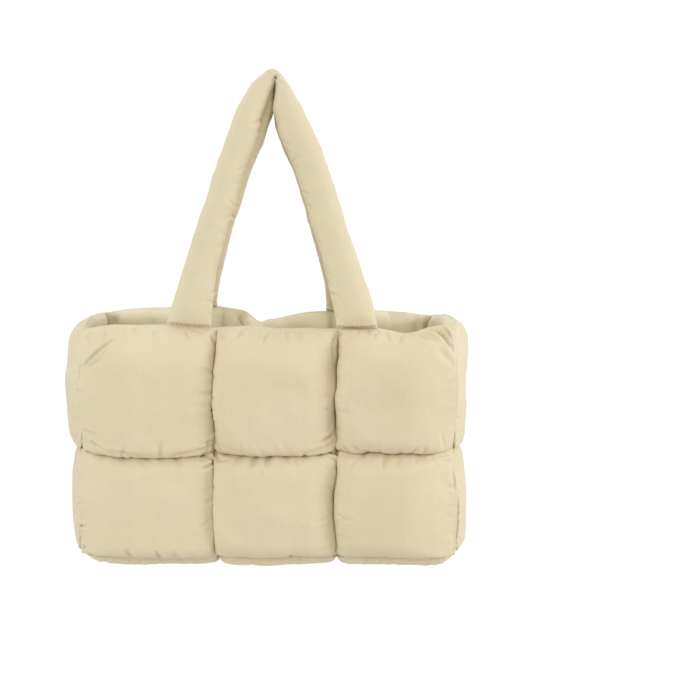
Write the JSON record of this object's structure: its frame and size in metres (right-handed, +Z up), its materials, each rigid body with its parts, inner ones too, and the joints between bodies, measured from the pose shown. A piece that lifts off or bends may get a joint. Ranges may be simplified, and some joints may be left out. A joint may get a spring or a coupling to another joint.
{
  "type": "quilted shoulder bag",
  "caption": "Soft puffer tote hanging by its handles: padded panels quilted into square puffs around an open top, with stuffed strap handles gathered at one bight.",
  "frame": {"origin": "inside of the handles' fold, midway between the front and the rear handle, where the bag hangs", "axes": "+Z up along the hang, the quilted front faces -Y, +X to the right seen from the front"},
  "size_m": [0.3928, 0.171, 0.4817],
  "materials": {
    "shell_fabric": "beige satin woven nylon, padded and quilted",
    "handle_fabric": "beige satin woven nylon, stuffed strap"
  },
  "bodies": {
    "root": {"front_panel": "shell_fabric", "back_panel": "shell_fabric", "left_gusset": "shell_fabric", "right_gusset": "shell_fabric", "base_panel": "shell_fabric", "front_handle": "handle_fabric", "rear_handle": "handle_fabric"}
  },
  "joints": []
}
